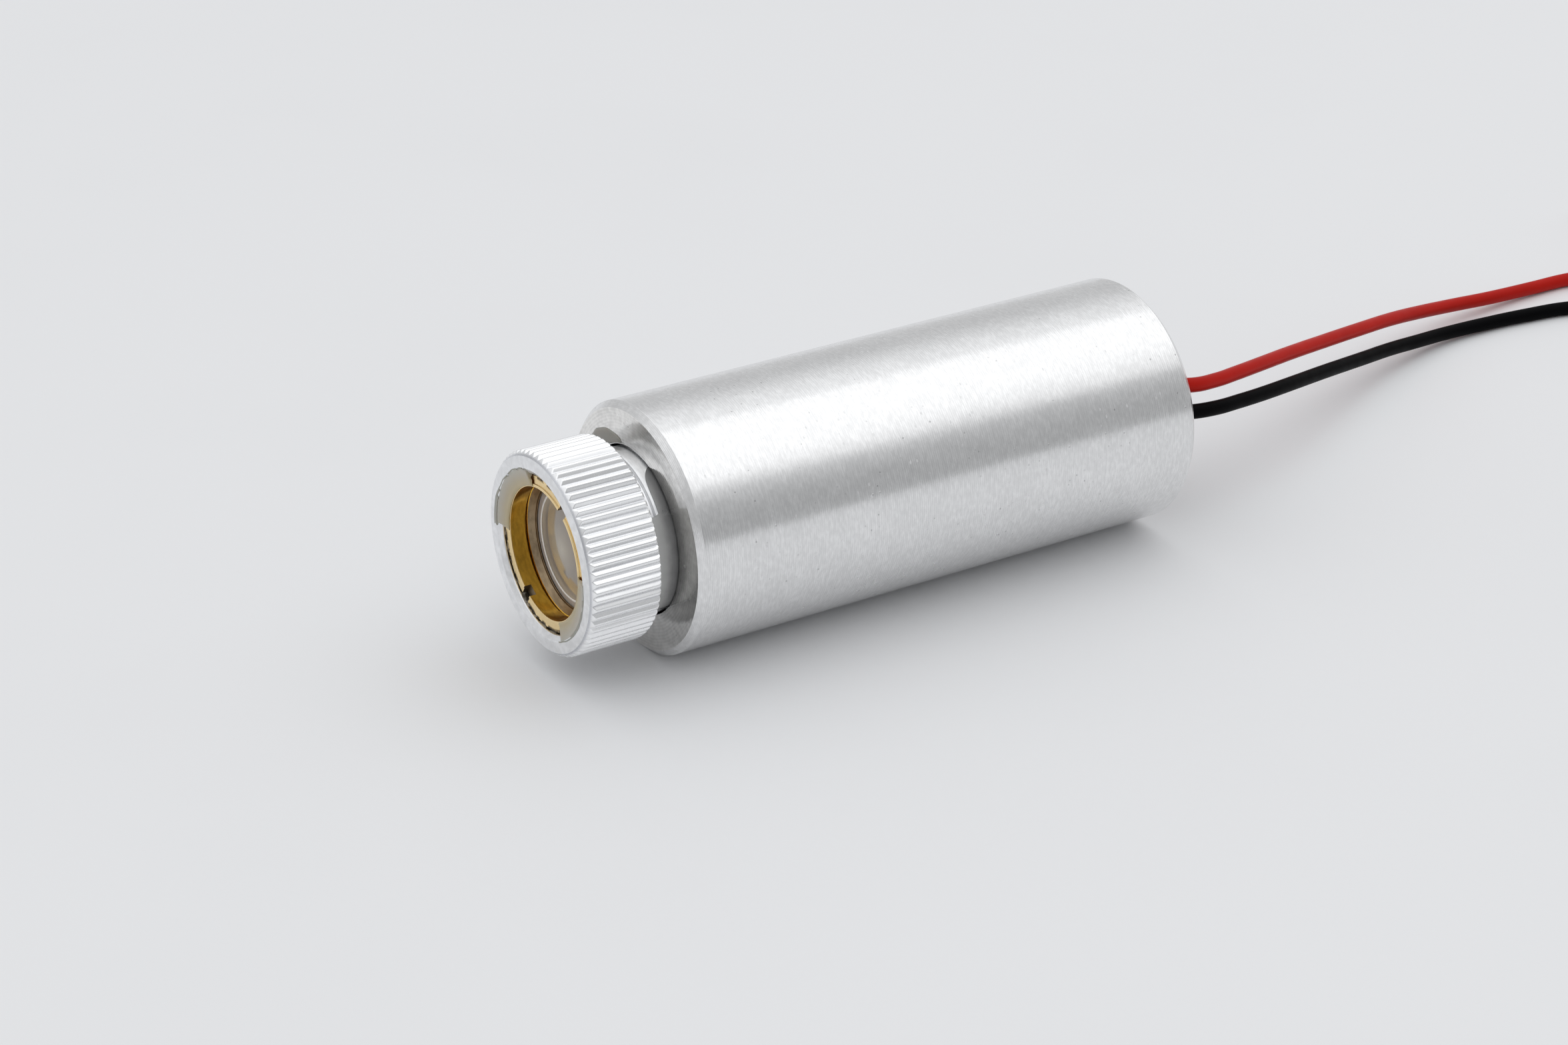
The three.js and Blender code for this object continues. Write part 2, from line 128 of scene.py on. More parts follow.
def add_node(tree, kind, inputs=(), **settings):
    made = tree.nodes.new(kind)
    for key, value in settings.items():
        setattr(made, key, value)
    for key, value in dict(inputs).items():
        if isinstance(value, bpy.types.NodeSocket):
            tree.links.new(value, made.inputs[key])
        else:
            made.inputs[key].default_value = value
    return made


def fill_ramp(ramp, stops):
    """Gives a colour ramp its stops, each a position from 0 to 1 and a colour."""
    elements = ramp.color_ramp.elements
    while len(elements) < len(stops):
        elements.new(0.5)
    for element, (position, color) in zip(elements, stops):
        element.position = position
        element.color = (*color, 1)


class Surface:
    """A procedural material on one Principled shader. Its patterns are in the piece's own metres."""

    def __init__(self, name, color, **settings):
        self.material = bpy.data.materials.new(name)
        self.material.use_nodes = True
        self.tree = self.material.node_tree
        self.shader = self.tree.nodes["Principled BSDF"]
        self.set("Base Color", (*color, 1))
        for key, value in settings.items():
            self.set(key.replace("_", " "), value)
        self.place = self.node("ShaderNodeTexCoord").outputs["Object"]

    def set(self, socket, value):
        if isinstance(value, bpy.types.NodeSocket):
            self.tree.links.new(value, self.shader.inputs[socket])
        else:
            self.shader.inputs[socket].default_value = value

    def node(self, kind, inputs=(), **settings):
        return add_node(self.tree, kind, inputs, **settings)

    def math(self, operation, a, b=0.0):
        return self.node("ShaderNodeMath", {0: a, 1: b}, operation=operation).outputs[0]

    def noise(self, size, detail=3.0, stretch=(1, 1, 1), offset=0.0):
        """Noise from 0 to 1 with features of about size metres, longer where stretch is small."""
        scale = tuple(s / size for s in stretch)
        where = self.node(
            "ShaderNodeMapping",
            {"Vector": self.place, "Scale": scale, "Location": (offset, offset, offset)},
        )
        made = self.node(
            "ShaderNodeTexNoise",
            {"Vector": where.outputs[0], "Scale": 1.0, "Detail": detail, "Roughness": 0.5},
        )
        return made.outputs["Fac"]

    def spots(self, size, width, stretch=(1, 1, 1), offset=0.0):
        """1 in scattered spots, one each size metres, and 0 elsewhere."""
        where = self.node(
            "ShaderNodeMapping",
            {"Vector": self.place, "Scale": stretch, "Location": (offset, offset, offset)},
        )
        cells = self.node("ShaderNodeTexVoronoi", {"Vector": where.outputs[0], "Scale": 1 / size})
        return self.between(cells.outputs["Distance"], width, 0.5 * width)

    def between(self, value, low, high, to_low=0.0, to_high=1.0):
        made = self.node(
            "ShaderNodeMapRange",
            {"Value": value, "From Min": low, "From Max": high, "To Min": to_low, "To Max": to_high},
        )
        return made.outputs["Result"]

    def out(self):
        """Distance from the optical axis."""
        flat = self.node("ShaderNodeVectorMath", {0: self.place, 1: (1, 0, 1)}, operation="MULTIPLY")
        length = self.node("ShaderNodeVectorMath", {0: flat.outputs[0]}, operation="LENGTH")
        return length.outputs["Value"]

    def along_and_out(self):
        """Distance along the axis plus distance from it, so one pattern fits cylinders and faces."""
        parts = self.node("ShaderNodeSeparateXYZ", {"Vector": self.place})
        return self.math("ADD", parts.outputs["Y"], self.out())

    def feed_marks(self, pitch, wander):
        """The ridges that a turning tool leaves, one each pitch metres."""
        phase = self.math("MULTIPLY", self.along_and_out(), 2 * math.pi / pitch)
        phase = self.math("ADD", phase, self.math("MULTIPLY", wander, 5.0))
        return self.math("SINE", phase)

    def bump(self, *layers):
        """Each layer is a height from 0 to 1 and what 1 stands for in metres."""
        normal = None
        for height, depth in layers:
            inputs = {"Height": height, "Distance": depth, "Strength": 1.0}
            if normal is not None:
                inputs["Normal"] = normal
            normal = self.node("ShaderNodeBump", inputs).outputs["Normal"]
        self.set("Normal", normal)

    def shades(self, value, *colors):
        """The base colour runs through these colours as value goes from 0 to 1."""
        made = self.node("ShaderNodeValToRGB", {"Fac": value})
        fill_ramp(made, [(index / (len(colors) - 1), color) for index, color in enumerate(colors)])
        self.set("Base Color", made.outputs["Color"])

    def uneven_roughness(self, low, high, size=1e-3, offset=6):
        """The roughness wanders between low and high, in patches of about size metres."""
        patches = self.between(self.noise(size, 3, offset=offset), 0.3, 0.7, low, high)
        self.set("Roughness", patches)
        return patches


def tinted(color, factor):
    return tuple(min(1.0, c * factor) for c in color)


def turned_metal(
    name, color, roughness, pitch=0.15e-3, ridge=0.5e-6, worn=0.0, grime=0.93, painted_shade_reach=None
):
    """Bright turned metal with feed marks of a pitch and a height of ridge, both in metres.

    worn is the depth of its pits, in metres. The last argument, if given, is how far from the axis a
    painted shade reaches; the shade is darkest at 5.4 mm.
    """
    made = Surface(name, color, Metallic=1.0)
    wander = made.noise(2.5e-3, 2, offset=3)
    patches = made.between(made.noise(5e-3, 3), 0.35, 0.65, 0.25, 1.0)
    marks = made.math("MULTIPLY", made.feed_marks(pitch, wander), patches)
    streaks = made.noise(0.3e-3, 3, stretch=(0.04, 3, 0.04), offset=7)
    frost = made.noise(0.28e-3, 3, stretch=(0.6, 1.6, 0.6), offset=12)
    grain = made.noise(0.11e-3, 4, offset=11)
    layers = [(marks, ridge), (streaks, 0.6e-6), (grain, 0.6e-6), (frost, 1.1e-6)]
    cloudy = made.math("MULTIPLY", made.noise(1.5e-3, 4, offset=2), 0.25)
    tone = made.math("ADD", cloudy, made.math("MULTIPLY", frost, 0.75))
    tone = made.between(tone, 0.36, 0.64, 0.38, 0.92)
    # Painted shade, darkest 5.4 mm from the axis and fading out further from it.
    if painted_shade_reach:
        tone = made.math("SUBTRACT", tone, made.between(made.out(), 5.4e-3, painted_shade_reach, 0.4, 0.0))
    if worn:
        crowded = made.between(made.noise(3.5e-3, 3, offset=5), 0.44, 0.56)
        pits = made.math("MULTIPLY", made.spots(0.62e-3, 0.13, offset=1), crowded)
        scuffed = made.between(made.noise(2.6e-3, 2, offset=15), 0.5, 0.62)
        scuffs = made.math("MULTIPLY", made.spots(0.6e-3, 0.2, (0.8, 1.3, 0.8), offset=4), scuffed)
        layers.append((made.math("SUBTRACT", 1.0, pits), worn))
        tone = made.math("SUBTRACT", tone, made.math("MULTIPLY", pits, 0.6))
        tone = made.math("ADD", tone, made.math("MULTIPLY", marks, 0.16))
    made.bump(*layers)
    dark = tinted(color, grime - 0.5 * (1 - grime))
    darkest = tinted(color, 0.6) if worn else dark
    made.shades(tone, darkest, dark, tinted(color, grime), color, tinted(color, 1.08))
    uneven = made.uneven_roughness(roughness * 0.93, roughness * 1.08, 0.6e-3, offset=9)
    if worn:
        made.set("Roughness", made.math("ADD", uneven, made.math("MULTIPLY", scuffs, 0.3)))
    return made.material


def ring_face_brass():
    """Brass, darker in patches in a band just inside the outer edge of its face."""
    made = Surface("brass_face", (0.90, 0.70, 0.38), Metallic=1.0, Roughness=0.24)
    marks = made.feed_marks(0.11e-3, made.noise(2e-3, 2, offset=3))
    edge = made.between(made.out(), 4.68e-3, 4.86e-3)
    edge_patches = made.math("MULTIPLY", edge, made.between(made.noise(0.4e-3, 3, offset=6), 0.47, 0.53))
    made.bump((marks, 0.5e-6), (made.noise(0.2e-3, 3, offset=8), 2e-6))
    tone = made.math("SUBTRACT", made.between(made.noise(0.7e-3, 4), 0.2, 0.8, 0.55, 1.0), edge_patches)
    made.shades(
        tone, (0.07, 0.045, 0.02), (0.35, 0.24, 0.10), (0.82, 0.62, 0.31), (0.90, 0.71, 0.40),
    )
    return made.material


def knurl_metal():
    """Rolled teeth with satin flanks; painted shade makes them darkest in the valleys and brightest at the
    crests.
    """
    made = Surface("knurl", (0.97, 0.975, 0.98), Metallic=1.0)
    # Painted shade: the colour darkens from the crests down into the valleys.
    depth = made.math("ADD", made.out(), made.math("MULTIPLY", made.noise(0.4e-3, 3), 0.03e-3))
    made.shades(
        made.between(depth, 6.19e-3, 6.32e-3),
        (0.62, 0.63, 0.66), (0.88, 0.885, 0.90), (0.97, 0.975, 0.98),
    )
    drawn = made.noise(0.25e-3, 3, stretch=(1, 0.08, 1))
    made.bump((drawn, 0.9e-6), (made.noise(0.12e-3, 3, offset=5), 0.3e-6))
    made.uneven_roughness(0.24, 0.30, 0.8e-3, offset=9)
    return made.material


def thread_gap_shade():
    """The wall of the knob's pocket, with painted shade in dark patches where the brass ring is screwed in.
    """
    made = Surface("thread_gap_shade", (0.5, 0.5, 0.5), Metallic=0.6, Roughness=0.5)
    patches = made.between(made.noise(0.6e-3, 3, offset=6), 0.44, 0.54)
    made.shades(patches, (0.62, 0.61, 0.58), (0.28, 0.26, 0.22), (0.05, 0.042, 0.03))
    made.bump((made.noise(0.15e-3, 3), 8e-6))
    return made.material


def glue_film():
    """Cloudy glue: tan where it lies over brass, grey where it lies over aluminium."""
    made = Surface(
        "glue", (0.47, 0.42, 0.34), Roughness=0.3, Transmission_Weight=0.15, IOR=1.4,
        Subsurface_Weight=0.15, Subsurface_Scale=0.0004,
    )
    where = made.math("ADD", made.out(), made.math("MULTIPLY", made.noise(0.9e-3, 3), 0.25e-3))
    made.shades(
        made.between(where, 4.3e-3, 5.6e-3),
        (0.38, 0.28, 0.095), (0.37, 0.29, 0.13), (0.36, 0.30, 0.19), (0.36, 0.325, 0.25),
        (0.39, 0.37, 0.33),
    )
    made.bump((made.noise(0.5e-3, 3), 6e-6))
    return made.material


def sealing_compound():
    """Grey, half clear and wet-looking. Its colour is painted light and shade: lighter by the knob's back,
    and dark towards the gap round the stem.
    """
    made = Surface("sealant", (0.44, 0.44, 0.43), Roughness=0.13, Transmission_Weight=0.2, IOR=1.45)
    along = made.node("ShaderNodeSeparateXYZ", {"Vector": made.place}).outputs["Y"]
    along = made.math("ADD", along, made.math("MULTIPLY", made.noise(0.8e-3, 3), 0.3e-3))
    # Painted shade: dark towards the gap round the stem, painted lighter by the knob's back.
    made.shades(
        made.between(along, -1.5e-3, 0.2e-3),
        (0.62, 0.62, 0.61), (0.66, 0.66, 0.65), (0.52, 0.52, 0.51), (0.27, 0.27, 0.27),
        (0.13, 0.13, 0.13),
    )
    made.bump((made.noise(0.7e-3, 2), 8e-6))
    return made.material


def lens_glass():
    """Coated glass that is a little milky. Its colour is painted shade, darkest about halfway out, and
    painted light, lighter again at its edge.
    """
    made = Surface(
        "lens", (0.52, 0.44, 0.35), Transmission_Weight=0.04, IOR=1.5, Roughness=0.12,
        Specular_IOR_Level=0.35, Coat_Weight=0.3, Coat_Roughness=0.04,
    )
    # Painted shade darkens the colour out to about halfway, and painted light lifts it again at the edge.
    shade_radius = made.math("ADD", made.out(), made.math("MULTIPLY", made.noise(1.8e-3, 3), 0.6e-3))
    made.shades(
        made.between(shade_radius, 0.2e-3, 3.6e-3),
        (0.49, 0.44, 0.36), (0.39, 0.345, 0.285), (0.33, 0.292, 0.25), (0.345, 0.305, 0.26),
        (0.60, 0.545, 0.46),
    )
    made.bump((made.noise(0.8e-3, 3), 4e-6))
    return made.material


def plastic(name, color, roughness, grain=0.25e-3, depth=4e-6, **settings):
    made = Surface(name, color, **settings)
    made.bump((made.noise(grain, 4), depth), (made.noise(8 * grain, 2, offset=4), 3 * depth))
    made.shades(made.noise(3e-3, 4, offset=8), tinted(color, 0.88), color, tinted(color, 1.1))
    made.uneven_roughness(roughness * 0.85, roughness * 1.15)
    return made.material


def clear(name, color, roughness, **settings):
    made = Surface(name, color, **settings)
    made.bump((made.noise(0.6e-3, 2), 5e-6))
    made.shades(made.noise(1.5e-3, 3, offset=3), tinted(color, 0.9), color, tinted(color, 1.06))
    made.uneven_roughness(roughness * 0.8, roughness * 1.3)
    return made.material


TUBE_METAL = turned_metal("turned_aluminium", (0.82, 0.82, 0.82), 0.2, ridge=0.9e-6, worn=4e-6)
# The tube's front face gets painted shade round its bore, beside the knob's back.
FACE_METAL = turned_metal(
    "faced_aluminium", (0.84, 0.83, 0.81), 0.14, pitch=0.2e-3, worn=5e-6, grime=0.88, painted_shade_reach=6.4e-3,
)
KNOB_METAL = turned_metal(
    "knurled_aluminium", (0.86, 0.865, 0.875), 0.32, pitch=0.09e-3, ridge=0.3e-6,
)
KNURL_METAL = knurl_metal()
THREAD_GAP_SHADE = thread_gap_shade()
HOLDER_METAL = turned_metal("holder_aluminium", (0.74, 0.745, 0.755), 0.33)
BRASS = turned_metal("brass", (0.82, 0.49, 0.068), 0.13, pitch=0.1e-3, ridge=0.3e-6, grime=0.82)
BRASS_FACE = ring_face_brass()
# Painted shade: a dark brass put in the spanner slots and in the lens cell's bore in front of the lens.
BRASS_PAINTED_SHADE = turned_metal(
    "brass_painted_shade", (0.33, 0.25, 0.16), 0.4, pitch=0.1e-3, ridge=0.3e-6, grime=0.8,
)
STEEL = turned_metal("spring_steel", (0.60, 0.61, 0.63), 0.3)
CAN_STEEL = turned_metal("can_steel", (0.70, 0.71, 0.73), 0.25)
GOLD = turned_metal("gold_plate", (0.88, 0.68, 0.32), 0.22)
TINNED = turned_metal("tinned_metal", (0.76, 0.77, 0.78), 0.32)
LENS = lens_glass()
LENS_RIM = clear("lens_rim", (0.95, 0.95, 0.94), 0.6)
LENS_FLANGE = clear("lens_flange", (0.56, 0.51, 0.47), 0.3)
WINDOW = clear("window", (0.85, 0.86, 0.88), 0.04, Transmission_Weight=0.9, IOR=1.5)
GLUE = glue_film()
SEALANT = sealing_compound()
RUBBER = plastic("rubber", (0.05, 0.05, 0.05), 0.7)
EPOXY = plastic("epoxy", (0.035, 0.035, 0.04), 0.22, grain=0.6e-3, depth=8e-6, Coat_Weight=0.4)
LAMINATE = plastic("laminate", (0.06, 0.28, 0.13), 0.4)
MOULDING = plastic("black_moulding", (0.04, 0.04, 0.045), 0.5)
CERAMIC = plastic("ceramic", (0.50, 0.36, 0.20), 0.45)
TRIMMER_WHITE = plastic("trimmer_white", (0.80, 0.79, 0.74), 0.45)
RED_PVC = plastic("red_pvc", (0.46, 0.0135, 0.0085), 0.34, Specular_IOR_Level=0.05)
BLACK_PVC = plastic("black_pvc", (0.0028, 0.0028, 0.0032), 0.4, Specular_IOR_Level=0.02)
NYLON = plastic("nylon", (0.80, 0.80, 0.76), 0.45, Subsurface_Weight=0.1, Subsurface_Scale=0.0005)

BY_SLOT = {
    "turned_aluminium": TUBE_METAL,
    "knurled_aluminium": KNOB_METAL,
    "holder_aluminium": HOLDER_METAL,
    "brass": BRASS,
    "lens": LENS,
    "window": WINDOW,
    "glue": GLUE,
    "rubber": RUBBER,
    "spring_steel": STEEL,
    "can_steel": CAN_STEEL,
    "gold_plate": GOLD,
    "laminate": LAMINATE,
    "black_moulding": MOULDING,
    "ceramic": CERAMIC,
    "trimmer_white": TRIMMER_WHITE,
    "tinned_metal": TINNED,
    "epoxy": EPOXY,
    "red_pvc": RED_PVC,
    "black_pvc": BLACK_PVC,
    "nylon": NYLON,
}
for part in frame["record"]["subparts"]:
    for holder in frame["nodes"][part["node"]].material_slots:
        holder.material = BY_SLOT[part["material_slot"]]


# ---- Mesh helpers ----

def piece(name, points, faces, slot, body="housing", stands_for=(), origin=(0, FACE_Y, AXIS_Z)):
    """A smooth mesh from points in millimetres, measured from origin."""
    mesh = bpy.data.meshes.new(name)
    mesh.from_pydata([tuple(c * MM for c in p) for p in points], [], faces)
    shape = bmesh.new()
    shape.from_mesh(mesh)
    bmesh.ops.remove_doubles(shape, verts=shape.verts, dist=1e-8)
    bmesh.ops.dissolve_degenerate(shape, dist=1e-9, edges=shape.edges)
    bmesh.ops.recalc_face_normals(shape, faces=shape.faces)
    for face in shape.faces:
        face.smooth = True
    shape.to_mesh(mesh)
    shape.free()
    mesh.set_sharp_from_angle(angle=math.radians(55))
    made = bpy.data.objects.new(name, mesh)
    bpy.context.scene.collection.objects.link(made)
    made.location = Vector(origin) * MM
    mesh.materials.append(BY_SLOT[slot])
    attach(made, body)
    if stands_for:
        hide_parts(*stands_for)
    return made


def finish_faces(made, material, wanted):
    """Gives the faces that wanted(r, y, angle) picks a material of their own."""
    made.data.materials.append(material)
    index = len(made.data.materials) - 1
    for face in made.data.polygons:
        c = face.center / MM
        if wanted(math.hypot(c.x, c.z), c.y, math.degrees(math.atan2(c.z, c.x)) % 360):
            face.material_index = index


def soften(corners, radius=0.04, steps=3):
    """A closed outline with rounded corners. A corner is (r, y), or (r, y, its own radius)."""
    rounded = []
    for index, corner in enumerate(corners):
        here = Vector(corner[:2])
        own = corner[2] if len(corner) > 2 else radius
        if not own:
            rounded.append(here)
            continue
        before = Vector(corners[index - 1][:2]) - here
        after = Vector(corners[(index + 1) % len(corners)][:2]) - here
        reach = own / math.tan(before.angle(after) / 2)
        trim = min(reach, 0.35 * before.length, 0.35 * after.length)
        start = here + before.normalized() * trim
        end = here + after.normalized() * trim
        rounded.append(here + before.normalized() * min(2 * trim, 0.45 * before.length))
        for step in range(steps + 1):
            t = step / steps
            rounded.append(start.lerp(here, t).lerp(here.lerp(end, t), t))
        rounded.append(here + after.normalized() * min(2 * trim, 0.45 * after.length))
    return [(p.x, p.y) for p in rounded]


def looped_faces(rows, across):
    """Faces between rows of points, when each row is a ring and the rows form a loop too."""
    faces = []
    for row in range(rows):
        here, there = row * across, (row + 1) % rows * across
        for column in range(across):
            after = (column + 1) % across
            faces.append((here + column, here + after, there + after, there + column))
    return faces


def rod_faces(stations, sides):
    """Faces of a rod from its stations, each a ring of points, with a cap at both ends."""
    faces = []
    for station in range(stations):
        for index in range(sides):
            a, b = station * sides + index, station * sides + (index + 1) % sides
            faces.append((a, b, b + sides, a + sides))
    faces.append(tuple(range(sides)))
    faces.append(tuple(stations * sides + index for index in range(sides)))
    return faces


def wrapped(rows, angles, shape=None):
    """Points and faces of a closed surface.

    Each row (r, y) goes once round the axis and the rows form a loop. shape(r, y, angle) may move a point.
    """
    points = []
    for r, y in rows:
        for angle in angles:
            at = shape(r, y, angle) if shape else (r, y, angle)
            points.append((at[0] * math.cos(at[2]), at[1], at[0] * math.sin(at[2])))
    return points, looped_faces(len(rows), len(angles))


def even_angles(count):
    return [2 * math.pi * index / count for index in range(count)]


def lathe(name, corners, slot, sides=192, **options):
    """A turned piece, whose outline's corners (r, y) are rounded a little."""
    points, faces = wrapped(soften(corners), even_angles(sides))
    return piece(name, points, faces, slot, **options)


# ---- Leads: they leave the rear seal, come down to the surface and end in a coil ----

def lead(name, material_slot, exit_at, route, coil, tie_angle):
    """One lead. route runs from the seal to the coil.

    coil is the coil's middle, the angle in degrees at which the lead joins it, and its spin.
    """
    middle = Vector((*coil[0], COIL_LIFT + LEAD_D / 2))
    entry, spin = math.radians(coil[1]), coil[2]
    line = [Vector((exit_at[0], FACE_Y + SEAL_Y + 0.1, exit_at[1]))] + [Vector(p) for p in route]
    walked = sum((b - a).length for a, b in zip(line, line[1:]))
    first = middle + Vector((COIL_TURN_R * math.cos(entry), COIL_TURN_R * math.sin(entry), 0))
    left = LEAD_L - BARE_L - walked - (first - line[-1]).length - END_BEND * math.pi / 2
    turns = (COIL_TURN_R - math.sqrt(COIL_TURN_R ** 2 - COIL_PITCH * left / math.pi)) / COIL_PITCH
    steps = math.ceil(KNOTS_PER_TURN * turns)
    for step in range(steps + 1):
        share = step / steps * turns
        angle = entry + spin * 2 * math.pi * share
        radius = COIL_TURN_R - COIL_PITCH * share
        line.append(middle + Vector((radius * math.cos(angle), radius * math.sin(angle), 0)))

    # A bend takes the lead off the innermost turn, and the bare end goes on across the coil.
    heading = -Vector((math.cos(angle), math.sin(angle), 0))
    onward = Vector((-math.sin(angle), math.cos(angle), 0)) * spin
    hub = middle - heading * (radius - END_BEND)
    for turned in (22.5, 45, 67.5, 90):
        a = math.radians(turned)
        line.append(hub - heading * (END_BEND * math.cos(a)) + onward * (END_BEND * math.sin(a)))
    ends = [line[-1], line[-1] + heading * BARE_L]
    line.append(ends[0] + heading * 0.3)

    curve = bpy.data.curves.new(name, "CURVE")
    curve.dimensions = "3D"
    curve.bevel_depth = LEAD_D / 2 * MM
    curve.bevel_resolution = 6
    curve.resolution_u = 8
    curve.use_fill_caps = True
    spline = curve.splines.new("BEZIER")
    spline.bezier_points.add(len(line) - 1)
    for knot, at in zip(spline.bezier_points, line):
        knot.co = at * MM
        knot.handle_left_type = knot.handle_right_type = "AUTO"
    made = bpy.data.objects.new(name, curve)
    bpy.context.scene.collection.objects.link(made)
    curve.materials.append(BY_SLOT[material_slot])
    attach(made, "housing")
    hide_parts(name + "_lead", name + "_lead_coil")
    bare = bare_strands(name, ends, heading)
    band = coil_tie(name, middle, radius, tie_angle)


def bare_strands(name, ends, heading):
    """The tinned end: seven strands, six of them twisted round the middle one."""
    side = heading.cross(Vector((0, 0, 1)))
    points, sides, stations = [], 36, 40
    for station in range(stations + 1):
        share = station / stations
        at = ends[0].lerp(ends[1], share)
        rounding = max(0.0, (share - 0.96) / 0.04)
        taper = math.sqrt(max(0.0, 1 - rounding ** 2))
        for index in range(sides):
            angle = 2 * math.pi * index / sides
            lobe = abs(math.cos(3 * (angle - 5.5 * share)))
            r = BARE_R * (0.84 + 0.16 * lobe) * taper
            points.append(at + side * (r * math.cos(angle)) + Vector((0, 0, r * math.sin(angle))))
    return piece(
        name + "_strands", points, rod_faces(stations, sides), "tinned_metal",
        stands_for=[name + "_lead_bare_end"], origin=(0, 0, 0),
    )


def coil_tie(name, middle, innermost, angle):
    """A thin nylon band round the coil's turns, with its locking head outside."""
    left = innermost - LEAD_D / 2 - 0.4
    right_end = COIL_TURN_R + LEAD_D / 2 + 0.4
    top = COIL_LIFT + LEAD_D + 0.35
    outline = [(left, 0, 0.3), (right_end, 0, 0.3), (right_end, top, 0.3), (left, top, 0.3)]
    hollow = [
        (left + TIE_T, TIE_T, 0.2), (right_end - TIE_T, TIE_T, 0.2),
        (right_end - TIE_T, top - TIE_T, 0.2), (left + TIE_T, top - TIE_T, 0.2),
    ]
    outer, inner = soften(outline, steps=5), soften(hollow, steps=5)
    out = Vector((math.cos(math.radians(angle)), math.sin(math.radians(angle)), 0))
    across = Vector((-out.y, out.x, 0))
    base = Vector((middle.x, middle.y, 0))
    loops = [
        (inner, -0.6), (inner, 0.6), (outer, 0.6), (outer, 0.52), (outer, -0.52), (outer, -0.6),
    ]
    points = [base + out * x + Vector((0, 0, z)) + across * w for loop, w in loops for x, z in loop]
    faces = looped_faces(len(loops), len(outer))
    start = len(points)
    for x in (right_end - 0.1, right_end + 0.75):
        for w in (-0.85, 0.85):
            for z in (0.02, top - 0.1):
                points.append(base + out * x + Vector((0, 0, z)) + across * w)
    faces += [
        tuple(start + corner for corner in side)
        for side in ((0, 1, 3, 2), (4, 5, 7, 6), (0, 1, 5, 4), (2, 3, 7, 6), (0, 2, 6, 4), (1, 3, 7, 5))
    ]
    band = piece(
        name + "_coil_band", points, faces, "nylon",
        stands_for=[name + "_lead_tie"], origin=(0, 0, 0),
    )
    edge = band.modifiers.new("edges", "BEVEL")
    edge.width = 0.06 * MM
    edge.segments = 2
    edge.limit_method = "ANGLE"
    edge.harden_normals = True
    return band


F = FLOOR_Z  # where a lead lies on the surface
lead(
    "red", "red_pvc", (1.0, 8.75),
    [
        (1.0, 24.0, 8.7), (1.3, 26.5, 8.2), (0.8, 28.8, 7.8), (-0.1, 31.4, 7.4), (-1.5, 34.8, 6.8),
        (-3.3, 38.8, 6.0), (-5.2, 43.2, 5.1), (-7.6, 49.0, 3.95), (-9.3, 53.2, 3.1), (-10.8, 57.3, 2.2),
        (-11.9, 61.8, 1.4), (-12.4, 65.8, 0.9), (-12.7, 70.0, 0.6), (-12.6, 74.2, F), (-11.8, 77.6, F),
        (-10.6, 80.6, F),
    ],
    ((-15, 88), 0, 1), 200,
)
lead(
    "black", "black_pvc", (1.6, 7.0),
    [
        (1.7, 23.8, 6.95), (2.1, 26.0, 6.7), (2.0, 28.0, 6.45), (1.3, 30.6, 6.05), (0.4, 33.4, 5.6),
        (-1.0, 37.0, 4.95), (-3.1, 41.8, 3.95), (-5.6, 47.5, 2.7), (-7.2, 51.5, 1.92), (-8.4, 55.2, 1.25),
        (-9.2, 58.6, 0.8), (-9.4, 62.0, 0.6), (-9.1, 66.4, F), (-8.4, 70.2, F), (-7.0, 73.2, F),
        (-5.5, 75.4, F),
    ],
    ((2.5, 82), 180, -1), -20,
)


# ---- Tube ----

tube = lathe(
    "tube_shell",
    [
        (FRONT_BORE_R, 0, 0.06), (BODY_R - BODY_CHAMFER, 0), (BODY_R, BODY_CHAMFER),
        (BODY_R, BODY_L - BODY_CHAMFER), (BODY_R - BODY_CHAMFER, BODY_L), (REAR_BORE_R, BODY_L, 0.1),
        (REAR_BORE_R, WEB_END), (WEB_HOLE_R, WEB_END), (WEB_HOLE_R, FRONT_BORE_L),
        (FRONT_BORE_R, FRONT_BORE_L),
    ],
    "turned_aluminium", sides=256, stands_for=["body_tube"],
)
finish_faces(tube, FACE_METAL, lambda r, y, angle: abs(y) < 0.012 and r < BODY_R - BODY_CHAMFER)


# ---- Focus knob: straight knurl, stem, and the pocket for the lens and its ring ----

# Across one tooth: where, in pitches, and how deep, as a share of the knurl's depth.
TOOTH = [
    (-0.5, 0.88), (-0.46, 0.83), (-0.38, 0.64), (-0.29, 0.43), (-0.21, 0.24), (-0.16, 0.125),
    (-0.115, 0.045), (-0.06, 0.008), (0.0, 0.0), (0.06, 0.008), (0.115, 0.045), (0.16, 0.125),
    (0.21, 0.24), (0.29, 0.43), (0.38, 0.64), (0.46, 0.83),
]
THREAD_PITCH = 0.5
THREAD_DEPTH = 0.17
ROWS_PER_PITCH = 8
UNDERCUT_R = 4.95
UNDERCUT_FILLET = 0.32
TIP_R = 6.115  # where the bevel across the teeth begins
KNURL_FROM_R = 6.0  # the knurl is cut into everything outside this
COLLAR_R = 5.21
COLLAR_START = -0.95
POCKET_R = 5.04
POCKET_BEVEL = -6.32

knob_angles, knob_depth = [], {}
for tooth in range(KNURL_TEETH):
    cut = KNURL_DEPTH * random.uniform(0.93, 1.05)
    shift = random.uniform(-0.02, 0.02)
    for where, depth in TOOTH:
        angle = (tooth + where + shift * (1 - depth)) * 2 * math.pi / KNURL_TEETH
        knob_angles.append(angle)
        knob_depth[angle] = depth * cut


def thread_rows(r, start, end):
    """Rows along a stem, close enough together for a thread to be cut into it."""
    count = round((end - start) / THREAD_PITCH * ROWS_PER_PITCH)
    return [(r, start + (end - start) * step / count) for step in range(count + 1)]


